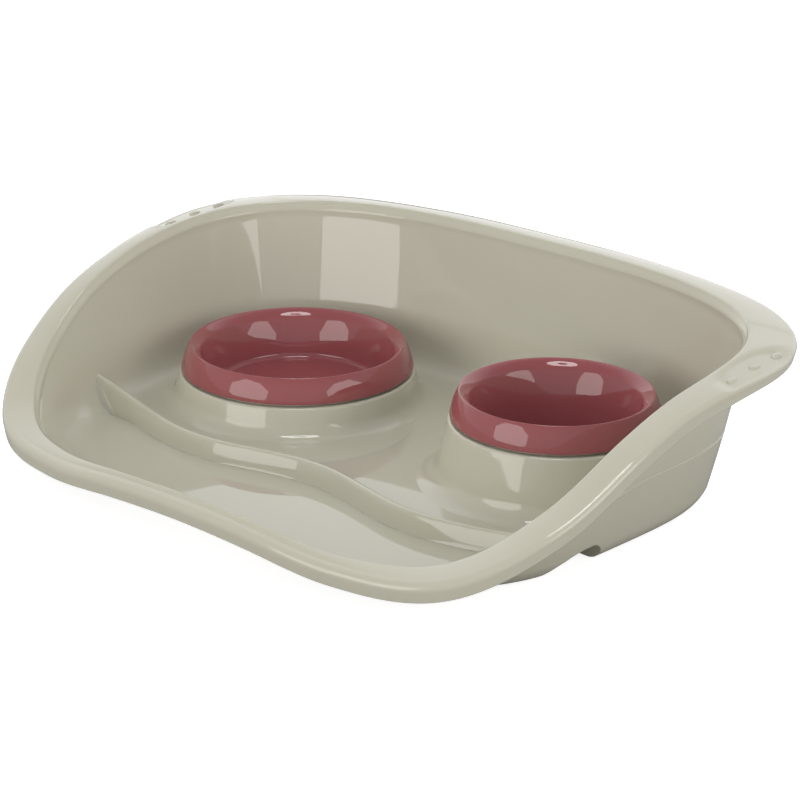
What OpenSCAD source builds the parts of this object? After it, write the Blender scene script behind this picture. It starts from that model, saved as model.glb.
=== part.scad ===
// Double pet bowl: a moulded tray with a high splash wall at its back and sides,
// a shallow food bowl and a deep water bowl that lift out of two round pedestals.
// The origin is on the ground under the middle of the tray, and the front is at -Y.

/* [Rim] */
// Half of the width of the rim opening, at the middle of its depth
rim_half_w = 210; // [195:1:225]
// Half width that the opening gains from its middle to its back
rim_taper = 8.5; // [2:0.5:14]
// Half of the depth of the rim opening
rim_half_d = 155.5; // [148:0.5:165]
// Squareness of the rim's plan, where 2 is an ellipse
plan_power = 3.2; // [2.8:0.1:3.8]
// Height of the rim at the middle of the back
rim_height = 108.5; // [100:0.5:125]
// Width of the flange along the sides
flange_w = 15; // [12:0.5:18]
// Drop of the flange from its inner to its outer edge
flange_drop = 3.2; // [1.5:0.1:5]
// Depth of the skirt under the flange's edge
skirt_h = 11; // [8:0.5:13]
// Height of the flared band at the top of the splash wall
band_h = 8; // [5:0.5:9]
// Width of that band, seen from above
band_w = 4; // [2:0.5:5]

/* [Tray walls and floor] */
// Thickness of the moulded wall
wall_t = 2.5; // [2:0.1:3]
// How far the walls lean outwards from the floor to the rim
wall_run = 23; // [18:1:26]
// How far the walls bulge outwards halfway up
wall_bulge = 2.5; // [0:0.5:4]
// Radius between the floor and the walls
floor_fillet = 14; // [10:0.5:18]
// Rounding of the wall's lower outer edge
edge_round = 10; // [6:0.5:11]
// Thickness of the floor
floor_t = 3; // [2.5:0.1:3.5]
// Height of the front basin's floor above the ground
front_floor_z = 4; // [3.8:0.1:5]
// Height of the rear floor above the front basin's
floor_step = 3.5; // [1:0.5:5]
// Height of the crease line on the outside of the walls
crease_z = 47; // [30:1:55]
// Offset of the wall above the crease line
crease_w = 0.8; // [0.3:0.1:1.2]

/* [Floor ridge] */
// Height of the wavy ridge above the front basin
ridge_h = 12; // [9:0.5:14]
// Height that the ridge gains where it runs into the side walls
ridge_rise = 8; // [0:0.5:10]
// Width of the ridge at the floor
ridge_w = 22; // [18:0.5:24]
// Width of the ridge at its crest
ridge_crest_w = 7; // [6:0.5:9]
// Distance from the bowls' centre line forward to the middle of the wave
ridge_front = 100.5; // [96:0.5:104]
// Height of the wave from its middle, in plan
ridge_wave = 7.2; // [2:0.2:9]

/* [Pedestals] */
// Share of the rim opening's half width at which the bowls' centres stand
bowl_share = 0.498; // [0.48:0.002:0.514]
// Distance of the bowls' centre line behind the middle of the rim opening
bowl_back = 44; // [38:0.5:48]
// Width of the ledge's lip outside the bowl's lower edge
lip_out = 1; // [0.5:0.1:2]
// Rounding of the ledge's lip
lip_round = 2; // [1:0.1:2.4]
// Height from the ledge up to the bowl's lower edge
ledge_gap = 2.4; // [1.5:0.1:4]
// Height of the neck that rises from the ledge into the bowl's skirt
neck_h = 5.5; // [4:0.5:6]
// Thickness of the neck
neck_t = 1.6; // [1.4:0.1:1.8]
// Clearance between the neck and the bowl's skirt
neck_gap = 0.8; // [0.5:0.1:1]
// Clearance between the socket and the bowl's pan
socket_gap = 1.2; // [0.8:0.1:2]
// Height of the socket's floor, on which a bowl stands
socket_z = 9; // [8.6:0.1:10]
// Radius of the fillet between a pedestal and the floor
pedestal_fillet = 13; // [8:0.5:14]
// Lean of a pedestal's wall, in degrees
pedestal_lean = 6; // [2:0.5:8]

/* [Bowls] */
// Outer radius of the food bowl at its lower edge
food_r = 74.5; // [72:0.5:76]
// Height of the food bowl
food_h = 34; // [32:0.5:40]
// Height of the food bowl's skirt
food_skirt_h = 15.5; // [13:0.5:17]
// Radius of the flat inside the food bowl
food_flat_r = 46; // [40:1:48]
// Outer radius of the water bowl at its lower edge
water_r = 62.5; // [60:0.5:65]
// Height of the water bowl
water_h = 53.5; // [50:0.5:60]
// Height of the water bowl's skirt
water_skirt_h = 15.5; // [13:0.5:18]
// Radius of the flat inside the water bowl
water_flat_r = 31; // [26:1:34]
// Wall thickness of the bowls
bowl_t = 2.5; // [2:0.1:3]
// Distance of a bowl's crest inside its lower edge, seen from above
crest_in = 5.5; // [4.5:0.1:6.5]
// Width of the roll from a bowl's crest down into its pan
roll_w = 9.6; // [8:0.2:11]
// Drop of that roll
roll_h = 5.4; // [4:0.2:7]
// Radius between a bowl's flat and its wall
bowl_fillet = 12; // [8:0.5:16]
// Height of the foot ring under a bowl
bowl_foot_h = 1.2; // [0.8:0.1:2]

/* [Feet] */
// Diameter of the rubber feet
foot_d = 14; // [10:0.5:18]
// Height by which the feet hold the tray off the ground
foot_lift = 1; // [0.8:0.1:1.4]
// Depth of the recess that holds a foot
foot_seat = 1.4; // [1:0.1:1.6]
// Clearance between a foot and its recess
foot_gap = 0.1; // [0.05:0.05:0.2]
// Distance of the feet inside the rim opening's sides
foot_side = 60; // [54:1:75]
// Distance of the feet inside the rim opening's front and back
foot_end = 57.5; // [50:0.5:62]

/* [Details] */
// Length of a grip nub on the flange's rear corners
nub_l = 10; // [8:0.5:12]
// Width of a grip nub
nub_w = 5; // [3:0.5:6]
// Height of a grip nub above the flange
nub_h = 1.8; // [1:0.1:2.2]
// Spacing of the grip nubs
nub_pitch = 22; // [18:0.5:24]
// Distance of the middle nub behind the middle of the rim opening
nub_back = 69; // [64:1:74]
// Distance of the nubs outside the widest part of the rim opening
nub_out = 12.5; // [11:0.5:14]
// Width of the arched notch in the lower edge of each side wall
notch_w = 14; // [8:0.5:18]
// Height of that notch
notch_h = 8; // [5:0.5:9]
// Depth of that notch into the wall's foot
notch_depth = 4; // [2:0.5:5]
// Distance of the notch in front of the middle of the rim opening
notch_front = 24; // [10:1:34]

/* [Hidden] */

// Stations round the rim and along the ridge
stations = 72;
ridge_steps = 28;
// How far a cut runs past the material that it leaves
overrun = 1;

// Height of the rim from the middle of the front to the middle of the back, every 15 degrees
rim_height_shares = [0.278, 0.261, 0.22, 0.255, 0.483, 0.723, 0.859, 0.923, 0.955, 0.972,
                     0.988, 0.998, 1];
// Width of the flange at the same places
flange_shares = [0.45, 0.48, 0.7, 1.15, 1.15, 1.05, 1, 1.2, 1.7, 1.6, 1.3, 1.28, 1.28];
// Depth of the skirt at the same places
skirt_shares = [1, 1, 1, 1, 1, 1, 1, 0.85, 0.65, 0.7, 0.9, 1, 1];

front_flange_w = flange_w * flange_shares[0];
back_flange_w = flange_w * flange_shares[len(flange_shares) - 1];
rim_y = (front_flange_w - back_flange_w) / 2;
bowl_x = rim_half_w * bowl_share;
bowl_y = rim_y + bowl_back;
foot_x = rim_half_w - foot_side;
foot_y = rim_half_d - foot_end;
rear_floor_z = front_floor_z + floor_step;
ridge_y = bowl_y - ridge_front;
ridge_pitch = 2 * bowl_x * 0.84;
crest_z = front_floor_z + ridge_h;
tray_colour = [0.77, 0.76, 0.71];
bowl_colour = [0.56, 0.28, 0.31];
rubber_colour = [0.16, 0.16, 0.17];

// A smooth curve through the values v at 0, 1, 2 and so on, level at both ends
function mirrored(v, i) = let(last = len(v) - 1) i < 0 ? v[-i] : i > last ? v[2 * last - i] : v[i];
function smooth(v, t) =
    let(i = floor(t), f = t - i, a = mirrored(v, i - 1), b = mirrored(v, i),
        c = mirrored(v, i + 1), d = mirrored(v, i + 2))
    b + f / 2 * (c - a + f * (2 * a - 5 * b + 4 * c - d + f * (3 * (b - c) + d - a)));

// A point on the rim's plan, at an angle from +X in a square frame
function plan_point(a) =
    let(r = pow(pow(abs(cos(a)), plan_power) + pow(abs(sin(a)), plan_power), -1 / plan_power),
        u = r * cos(a), v = r * sin(a))
    [u * (rim_half_w + rim_taper * v), rim_y + rim_half_d * v];
function unit(v) = v / norm(v);
function plan_normal(a) =
    let(h = 180 / stations, t = plan_point(a + h) - plan_point(a - h)) unit([t.y, -t.x]);
function plan_offset(a, d) = plan_point(a) + plan_normal(a) * d;

// Place of an angle in the lists of shares
function share_at(a) = (asin(sin(a)) + 90) / 15;
function rim_z(a) = rim_height * smooth(rim_height_shares, share_at(a));
function flange_at(a) = flange_w * smooth(flange_shares, share_at(a));
function skirt_at(a) = skirt_h * smooth(skirt_shares, share_at(a));
function floor_at(a) = plan_point(a).y < ridge_line(rim_half_w) ? front_floor_z : rear_floor_z;

// The inner face of the wall: its distance inwards from the rim at a height z
function wall_d(z, top) =
    let(u = (z - foot_lift) / (top - band_h - foot_lift))
    -wall_run + u * (wall_run - band_w) + 4 * wall_bulge * u * (1 - u) * top / rim_height;
function bezier(p, q, r, t) = (1 - t) * (1 - t) * p + 2 * t * (1 - t) * q + t * t * r;

// The wall's section at an angle, as [distance out from the rim's inner edge, height]
function wall_section(a) =
    let(top = rim_z(a), w = flange_at(a), skirt = skirt_at(a), base = floor_at(a),
        fillet = min(floor_fillet, (top - band_h - base) * 0.9),
        from = [-wall_run - floor_fillet, base - floor_t * 0.1],
        corner = [wall_d(base, top), base],
        to = [wall_d(base + fillet, top), base + fillet],
        low = foot_lift + edge_round,
        crease = min(crease_z, (low + top - skirt_h) / 2),
        step = crease_w * max(0, min(1, (top - crease_z - skirt_h) / skirt_h / 2)),
        lower = top - flange_drop)
    concat(
        [for (i = [0:4]) bezier(from, corner, to, i / 4)],
        [[wall_d(top - band_h, top), top - band_h], [-band_w / 5, top - band_h / 7],
         [band_w / 8, top],
         [w - flange_drop, top - flange_drop * 0.7], [w, top - flange_drop],
         [w + lip_round * 0.75, lower - lip_round * 0.9], [w + lip_round, lower - lip_round * 2],
         [w + lip_round / 2, lower - skirt], [w + lip_round / 2 - wall_t, lower - skirt],
         [w + lip_round - wall_t, lower - lip_round * 2],
         [w - wall_t * 0.8, lower - wall_t * 0.9],
         [min(wall_t * 2, w - wall_t * 1.5), top - wall_t * 1.3],
         [wall_d(top - band_h, top) + wall_t * 1.3, top - band_h],
         [wall_d(crease + wall_t, top) + wall_t, crease + wall_t / 2],
         [wall_d(crease, top) + wall_t - step, crease],
         [wall_d(low, top) + wall_t, low]],
        [for (i = [1:3]) bezier([wall_d(low, top) + wall_t, low],
            [wall_t - wall_run - edge_round * 0.2, foot_lift],
            [wall_t - wall_run - edge_round, foot_lift], i / 3)],
        [[-wall_run - edge_round, base - floor_t * 0.75],
         [-wall_run - floor_fillet, base - floor_t * 0.75]]);

// A ring-shaped body through the sections, as one closed mesh
module wall_and_rim() {
    sections = [for (i = [0:stations - 1])
        let(a = 360 * i / stations, p = plan_point(a), n = plan_normal(a))
        [for (s = wall_section(a)) [p.x + n.x * s.x, p.y + n.y * s.x, s.y]]];
    count = len(sections[0]);
    points = [for (ring = sections) each ring];
    faces = [for (i = [0:stations - 1], k = [0:count - 1])
        let(j = (i + 1) % stations, m = (k + 1) % count,
            p = i * count + k, q = j * count + k, r = j * count + m, s = i * count + m)
        each [[p, q, r], [p, r, s]]];
    polyhedron(points, faces);
}

// The plan of the floor, and the wavy line of the ridge across it
function ridge_line(x) = ridge_y - ridge_wave * cos(360 * (abs(x) - ridge_pitch / 2) / ridge_pitch);
function floor_plan(d) = [for (i = [0:stations - 1]) plan_offset(360 * i / stations, d)];
module floor_part(z, side) {
    edge = [for (i = [0:ridge_steps]) let(x = rim_half_w * (2 * i / ridge_steps - 1))
        [x, ridge_line(x)]];
    far = side * 2 * rim_half_d;
    translate([0, 0, z - floor_t]) linear_extrude(floor_t) intersection() {
        polygon(floor_plan(-wall_run - floor_fillet + wall_t));
        polygon(concat([[-rim_half_w, far]], edge, [[rim_half_w, far]]));
    }
}

// The space inside the walls, up to the ridge's highest point
function ridge_base(inset) = inset > 0 ? -overrun : front_floor_z - floor_t / 2;
module walls_inside(inset) {
    top = crest_z + ridge_rise;
    hull() {
        translate([0, 0, ridge_base(inset)]) linear_extrude(floor_t / 2)
            polygon(floor_plan(-wall_run - wall_t - inset * 3));
        translate([0, 0, top]) linear_extrude(floor_t / 2)
            polygon(floor_plan(wall_d(top, rim_z(-22.5)) + wall_t * 0.6 - inset * 2));
    }
}

// The ridge is a row of round-topped posts, each joined to the next
module ridge_post(inset, top) {
    crest_r = ridge_crest_w / 2 - inset * 0.4;
    foot_r = ridge_w / 2 - inset;
    rotate_extrude($fn = 14) polygon([[0, ridge_base(inset)], [foot_r, ridge_base(inset)],
        [crest_r, top - crest_r * 0.6], [crest_r * 0.75, top - crest_r * 0.2],
        [crest_r * 0.3, top], [0, top]]);
}
module ridge(inset, reach) {
    function x_at(i) = reach * (2 * i / ridge_steps - 1);
    function top_at(x) = crest_z - inset
        + ridge_rise * min(1, pow(max(0, abs(x) / (rim_half_w - wall_run) - 0.7) / 0.3, 2));
    intersection() {
        for (i = [0:ridge_steps - 1]) hull() for (x = [x_at(i), x_at(i + 1)])
            translate([x, ridge_line(x), 0]) ridge_post(inset, top_at(x));
        walls_inside(inset);
    }
}

// Half of a pedestal's section: the socket, the neck, the ledge and the outer face
function pedestal_top(h, skirt) = socket_z + h - skirt - ledge_gap;
function pedestal_low() = rear_floor_z + pedestal_fillet * 0.8;
function pedestal_foot_r(r, h, skirt) =
    r + lip_out + (pedestal_top(h, skirt) - pedestal_low()) * tan(pedestal_lean);
module pedestal(r, h, skirt, flat) {
    ledge = pedestal_top(h, skirt);
    low = pedestal_low();
    wall = pedestal_foot_r(r, h, skirt);
    lip = r + lip_out;
    neck = r - bowl_t * 1.1 - neck_gap;
    seat = neck - neck_t;
    pan = [flat + bowl_t + bowl_fillet / 2 + socket_gap, socket_z + bowl_foot_h + bowl_fillet * 0.8];
    knee = [seat, min(socket_z + h / 2, ledge - lip_round)];
    well = flat + bowl_t * 2 + socket_gap;
    down = [wall_t, -wall_t];
    under = rear_floor_z - floor_t / 2;
    rotate_extrude($fn = 36) polygon(concat(
        [[0, socket_z - floor_t], [0, socket_z], [well, socket_z]],
        [for (i = [0:3]) bezier(pan, knee, [seat, ledge], i / 3)],
        [[seat, ledge + neck_h], [neck - neck_t * 0.3, ledge + neck_h],
         [neck, ledge + neck_h - neck_t * 0.4], [neck, ledge], [lip - lip_round, ledge],
         [lip - lip_round * 0.3, ledge - lip_round * 0.3], [lip, ledge - lip_round]],
        [for (i = [0:4]) bezier([wall, low], [wall, rear_floor_z],
            [wall + pedestal_fillet, rear_floor_z - floor_t * 0.1], i / 4)],
        [[wall + pedestal_fillet, under], [wall + wall_t, under], [wall - wall_t, low],
         [lip - wall_t, ledge - wall_t]],
        [for (i = [0:2]) bezier([seat, ledge] + down, knee + down, pan + down, i / 2)],
        [[well + wall_t, socket_z - floor_t]]));
}

// The round hole in the floor that a pedestal fills
module pedestal_hole(r, h, skirt) {
    translate([0, 0, -overrun]) cylinder(h = rear_floor_z + 2 * overrun,
        r = pedestal_foot_r(r, h, skirt) + pedestal_fillet / 2, $fn = 36);
}

module at_food() translate([-bowl_x, bowl_y, 0]) children();
module at_water() translate([bowl_x, bowl_y, 0]) children();
module at_foot(sx, sy) translate([sx * foot_x, rim_y + sy * foot_y, 0]) children();

module grip_nubs(side) {
    for (i = [-1:1]) {
        back = nub_back + i * nub_pitch;
        v = back / rim_half_d;
        a = atan2(v, pow(1 - pow(v, plan_power), 1 / plan_power));
        out = (rim_half_w + nub_out - plan_point(a).x) * plan_normal(a).x;
        z = rim_z(a) - flange_drop * 0.7 * out / flange_at(a);
        translate([side * (rim_half_w + nub_out), rim_y + back, z]) hull() for (k = [-1, 1])
            translate([0, k * (nub_l - nub_w) / 2, 0])
                scale([1, 1, 2 * nub_h / nub_w]) sphere(d = nub_w, $fn = 12);
    }
}

module side_notch(side) {
    from = rim_half_w - wall_run + wall_t - notch_depth;
    translate([side * from, rim_y - notch_front, foot_lift]) rotate([90, 0, side * 90])
        linear_extrude(wall_run) {
            translate([-notch_w / 2, -overrun])
                square([notch_w, max(0, notch_h - notch_w / 2) + overrun]);
            translate([0, max(0, notch_h - notch_w / 2)]) intersection() {
                circle(d = notch_w, $fn = 24);
                translate([-notch_w / 2, -overrun]) square([notch_w, notch_h + overrun]);
            }
        }
}

module tray() color(tray_colour) difference() {
    union() {
        wall_and_rim();
        difference() {
            union() {
                floor_part(front_floor_z, -1);
                floor_part(rear_floor_z, 1);
                ridge(0, rim_half_w);
            }
            at_food() pedestal_hole(food_r, food_h, food_skirt_h);
            at_water() pedestal_hole(water_r, water_h, water_skirt_h);
        }
        at_food() pedestal(food_r, food_h, food_skirt_h, food_flat_r);
        at_water() pedestal(water_r, water_h, water_skirt_h, water_flat_r);
        for (sx = [-1, 1]) at_foot(sx, 1) translate([0, 0, foot_lift])
            cylinder(h = rear_floor_z - floor_t / 2 - foot_lift, d = foot_d + 2 * wall_t, $fn = 32);
        grip_nubs(1);
        grip_nubs(-1);
    }
    ridge(wall_t, rim_half_w);
    side_notch(1);
    side_notch(-1);
    for (sx = [-1, 1], sy = [-1, 1]) at_foot(sx, sy) translate([0, 0, foot_lift - overrun])
        cylinder(h = foot_seat + overrun, d = foot_d + 2 * foot_gap, $fn = 32);
}

// A bowl is one wall: a pan, a broad rolled crest and a skirt that hangs outside it
module bowl(r, h, skirt, flat) color(bowl_colour) {
    crest_r = r - crest_in;
    roll = [crest_r - roll_w, h - roll_h];
    bend = [crest_r - roll_w * 1.55, h - roll_h * 3];
    floor_z = bowl_foot_h + bowl_t;
    low = [flat + bowl_fillet * 0.5, floor_z + bowl_fillet * 0.6];
    shoulder = [crest_r + crest_in * 0.38, h - bowl_t * 0.45];
    under = [flat + bowl_fillet * 0.5 + bowl_t * 0.9, low.y - bowl_t * 0.5];
    down = [bowl_t * 0.9, -bowl_t * 0.45];
    translate([0, 0, socket_z]) rotate_extrude($fn = 96) polygon(concat(
        [[0, floor_z - bowl_t], [0, floor_z]],
        [for (i = [0:5]) bezier([flat, floor_z], [flat + bowl_fillet * 0.35, floor_z], low, i / 5)],
        [for (i = [1:7]) bezier(low, bend, roll, i / 7)],
        [for (i = [1:6]) bezier(roll, [crest_r - roll_w * 0.7, h], [crest_r, h], i / 6)],
        [for (i = [1:3]) bezier([crest_r, h], [crest_r + crest_in * 0.24, h], shoulder, i / 3)],
        [for (i = [1:6]) bezier(shoulder, [r - crest_in * 0.1, h - bowl_t * 2.1],
            [r, h - skirt], i / 6)],
        [for (i = [0:5]) bezier([r - bowl_t, h - skirt], [r - bowl_t * 1.2, h - bowl_t * 2.4],
            [crest_r, h - bowl_t], i / 5)],
        [for (i = [1:4]) bezier([crest_r, h - bowl_t], [crest_r - roll_w * 0.6, h - bowl_t],
            roll + down, i / 4)],
        [for (i = [1:7]) bezier(roll + down, bend + down, under, i / 7)],
        [for (i = [1:5]) bezier(under, [flat + bowl_fillet * 0.5, floor_z - bowl_t],
            [flat, floor_z - bowl_t], i / 5)],
        [[flat - bowl_t * 0.4, 0], [flat - bowl_t * 1.6, 0], [flat - bowl_t * 2, floor_z - bowl_t]]));
}

module food_bowl() at_food() bowl(food_r, food_h, food_skirt_h, food_flat_r);
module water_bowl() at_water() bowl(water_r, water_h, water_skirt_h, water_flat_r);

module foot(sx, sy) color(rubber_colour) at_foot(sx, sy)
    cylinder(h = foot_lift + foot_seat, d = foot_d, $fn = 32);
module front_left_foot() foot(-1, -1);
module front_right_foot() foot(1, -1);
module rear_left_foot() foot(-1, 1);
module rear_right_foot() foot(1, 1);

tray();
food_bowl();
water_bowl();
front_left_foot();
front_right_foot();
rear_left_foot();
rear_right_foot();
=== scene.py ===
# Double pet bowl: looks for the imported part. All part sizes below are in millimetres.
import math

import bpy
import numpy as np
from mathutils import Matrix, Vector


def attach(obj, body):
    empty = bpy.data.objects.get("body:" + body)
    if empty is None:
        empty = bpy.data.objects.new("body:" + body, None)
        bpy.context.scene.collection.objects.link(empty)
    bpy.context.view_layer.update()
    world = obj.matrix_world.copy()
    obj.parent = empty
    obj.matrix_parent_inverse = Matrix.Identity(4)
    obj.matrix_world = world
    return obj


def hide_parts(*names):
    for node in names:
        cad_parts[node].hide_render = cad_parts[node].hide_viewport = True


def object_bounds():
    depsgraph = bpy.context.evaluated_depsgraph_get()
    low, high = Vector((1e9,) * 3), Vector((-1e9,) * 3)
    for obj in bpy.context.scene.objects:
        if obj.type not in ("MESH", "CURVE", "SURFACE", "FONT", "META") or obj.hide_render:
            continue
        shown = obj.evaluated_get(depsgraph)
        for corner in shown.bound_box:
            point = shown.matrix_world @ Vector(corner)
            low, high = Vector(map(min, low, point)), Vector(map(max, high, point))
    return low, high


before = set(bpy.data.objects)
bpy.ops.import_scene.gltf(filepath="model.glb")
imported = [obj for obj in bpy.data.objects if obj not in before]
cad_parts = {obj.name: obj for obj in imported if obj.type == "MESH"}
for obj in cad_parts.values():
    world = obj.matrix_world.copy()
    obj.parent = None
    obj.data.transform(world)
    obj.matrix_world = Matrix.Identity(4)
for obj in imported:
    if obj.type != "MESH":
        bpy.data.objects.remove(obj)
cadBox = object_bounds()
print("frame loaded")

mm = 0.001


# Curves and meshes that several pieces use
def smoothStep(t):
    t = np.clip(t, 0, 1)
    return t * t * (3 - 2 * t)


def smoothShares(shares, place):
    # a smooth curve through the shares at 0, 1, 2 and so on, level at both ends
    shares = np.array(shares, float)
    last = len(shares) - 1
    i = np.floor(place).astype(int)
    f = place - i

    def at(k):
        k = np.abs(k)
        return shares[np.where(k > last, 2 * last - k, k)]

    a, b, c, d = at(i - 1), at(i), at(i + 1), at(i + 2)
    return b + f / 2 * (c - a + f * (2 * a - 5 * b + 4 * c - d + f * (3 * (b - c) + d - a)))


def curveAt(p, q, r, t):
    # the value at t on the way from p to r, bent towards q
    return (1 - t) ** 2 * p + 2 * t * (1 - t) * q + t * t * r


def bezier(p, q, r, steps, first=False):
    # points after p up to r, and p itself too where it is the first of its line
    return [tuple(curveAt(a, b, c, i / steps) for a, b, c in zip(p, q, r))
            for i in range(0 if first else 1, steps + 1)]


def line(p, q, steps):
    return [tuple(a + (b - a) * i / steps for a, b in zip(p, q)) for i in range(1, steps + 1)]


def meshObject(name, verts, faces, material, smoothAngle=38):
    mesh = bpy.data.meshes.new(name)
    mesh.from_pydata([tuple(v) for v in verts], [], [tuple(f) for f in faces])
    mesh.validate()
    mesh.shade_smooth()
    mesh.set_sharp_from_angle(angle=math.radians(smoothAngle))
    mesh.materials.append(material)
    piece = bpy.data.objects.new(name, mesh)
    bpy.context.scene.collection.objects.link(piece)
    return piece


def rowFaces(rowCount, count):
    # a closed skin over a stack of rings that have count points each
    faces = []
    for r in range(rowCount - 1):
        one, two = r * count, (r + 1) * count
        for k in range(count):
            m = (k + 1) % count
            faces.append([one + m, one + k, two + k, two + m])
    faces.append(list(range(count)))
    faces.append([(rowCount - 1) * count + k for k in range(count)][::-1])
    return faces


def spun(profile, centre, segments):
    # a profile of (radius, height), clockwise from the axis, turned round a vertical line through centre
    verts, rings = [], []
    for r, z in profile:
        if r == 0:
            rings.append([len(verts)] * segments)
            verts.append((centre[0] * mm, centre[1] * mm, z * mm))
            continue
        rings.append(list(range(len(verts), len(verts) + segments)))
        for k in range(segments):
            a = 2 * math.pi * k / segments
            x, y = centre[0] + r * math.cos(a), centre[1] + r * math.sin(a)
            verts.append((x * mm, y * mm, z * mm))
    faces = []
    for one, two in zip(rings, rings[1:] + rings[:1]):
        if one[0] == one[1] and two[0] == two[1]:
            continue
        for k in range(segments):
            m = (k + 1) % segments
            corners = [one[k], two[k], two[m], one[m]]
            faces.append([v for n, v in enumerate(corners) if v not in corners[:n]])
    return verts, faces


# Materials
def node(tree, kind, values=None, **settings):
    made = tree.nodes.new(kind)
    for key, value in settings.items():
        setattr(made, key, value)
    for key, value in (values or {}).items():
        made.inputs[key].default_value = value
    return made


def newGroup(name, inputs, outputs):
    group = bpy.data.node_groups.new(name, "ShaderNodeTree")
    for label, kind, value in inputs:
        group.interface.new_socket(label, in_out="INPUT", socket_type=kind).default_value = value
    for label, kind in outputs:
        group.interface.new_socket(label, in_out="OUTPUT", socket_type=kind)
    return group, group.nodes.new("NodeGroupInput"), group.nodes.new("NodeGroupOutput")


# the colour sockets of a mix node, which share their names with its other sockets
mixFirst, mixSecond, mixResult = 6, 7, 2


def makeMouldedSkin():
    # injection-moulded plastic: cloudy pigment, fine speckle and a faint ripple from the mould
    grey = (0.5, 0.5, 0.5, 1)
    group, given, result = newGroup(
        "mouldedSkin",
        [("Colour", "NodeSocketColor", grey), ("Cloud Colour", "NodeSocketColor", grey),
         ("Cloud Size", "NodeSocketFloat", 8), ("Roughness", "NodeSocketFloat", 0.2),
         ("Roughness Spread", "NodeSocketFloat", 0.05), ("Ripple Size", "NodeSocketFloat", 90)],
        [("Colour", "NodeSocketColor"), ("Roughness", "NodeSocketFloat"), ("Height", "NodeSocketFloat")])
    links = group.links
    place = node(group, "ShaderNodeTexCoord")
    clouds = node(group, "ShaderNodeTexNoise", {"Detail": 4, "Roughness": 0.55})
    links.new(place.outputs["Object"], clouds.inputs["Vector"])
    links.new(given.outputs["Cloud Size"], clouds.inputs["Scale"])
    speckle = node(group, "ShaderNodeTexNoise", {"Scale": 900, "Detail": 2})
    links.new(place.outputs["Object"], speckle.inputs["Vector"])
    cloudShare = node(group, "ShaderNodeMapRange", {
        "From Min": 0.35, "From Max": 0.7, "To Min": 0, "To Max": 1})
    links.new(clouds.outputs["Fac"], cloudShare.inputs["Value"])
    speckleShare = node(group, "ShaderNodeMapRange", {
        "From Min": 0.3, "From Max": 0.7, "To Min": -0.12, "To Max": 0.12})
    links.new(speckle.outputs["Fac"], speckleShare.inputs["Value"])
    both = node(group, "ShaderNodeMath", operation="ADD", use_clamp=True)
    links.new(cloudShare.outputs["Result"], both.inputs[0])
    links.new(speckleShare.outputs["Result"], both.inputs[1])
    mix = node(group, "ShaderNodeMix", data_type="RGBA")
    links.new(both.outputs["Value"], mix.inputs["Factor"])
    links.new(given.outputs["Colour"], mix.inputs[mixFirst])
    links.new(given.outputs["Cloud Colour"], mix.inputs[mixSecond])
    links.new(mix.outputs[mixResult], result.inputs["Colour"])
    rough = node(group, "ShaderNodeMath", operation="MULTIPLY_ADD")
    links.new(clouds.outputs["Fac"], rough.inputs[0])
    links.new(given.outputs["Roughness Spread"], rough.inputs[1])
    links.new(given.outputs["Roughness"], rough.inputs[2])
    links.new(rough.outputs["Value"], result.inputs["Roughness"])
    ripple = node(group, "ShaderNodeTexNoise", {"Detail": 1, "Roughness": 0.3})
    links.new(place.outputs["Object"], ripple.inputs["Vector"])
    links.new(given.outputs["Ripple Size"], ripple.inputs["Scale"])
    links.new(ripple.outputs["Fac"], result.inputs["Height"])
    return group


def makeHandlingMarks():
    # hair-fine scratches that show only where they break the gloss
    group, given, result = newGroup(
        "handlingMarks",
        [("Amount", "NodeSocketFloat", 0.3), ("Length", "NodeSocketFloat", 30)],
        [("Mask", "NodeSocketFloat")])
    links = group.links
    place = node(group, "ShaderNodeTexCoord")
    masks = []
    for turn, stretch in ((0.5, (1, 14, 3)), (2.1, (12, 1, 3))):
        mapping = node(group, "ShaderNodeMapping", {"Rotation": (0.2, 0.1, turn), "Scale": stretch})
        links.new(place.outputs["Object"], mapping.inputs["Vector"])
        streaks = node(group, "ShaderNodeTexNoise", {"Detail": 3, "Roughness": 0.6, "Distortion": 0.4})
        links.new(mapping.outputs["Vector"], streaks.inputs["Vector"])
        links.new(given.outputs["Length"], streaks.inputs["Scale"])
        thin = node(group, "ShaderNodeMapRange", {
            "From Min": 0.64, "From Max": 0.72, "To Min": 0, "To Max": 1})
        links.new(streaks.outputs["Fac"], thin.inputs["Value"])
        masks.append(thin)
    most = node(group, "ShaderNodeMath", operation="MAXIMUM")
    links.new(masks[0].outputs["Result"], most.inputs[0])
    links.new(masks[1].outputs["Result"], most.inputs[1])
    scaled = node(group, "ShaderNodeMath", operation="MULTIPLY")
    links.new(most.outputs["Value"], scaled.inputs[0])
    links.new(given.outputs["Amount"], scaled.inputs[1])
    links.new(scaled.outputs["Value"], result.inputs["Mask"])
    return group


mouldedSkin = makeMouldedSkin()
handlingMarks = makeHandlingMarks()


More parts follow.
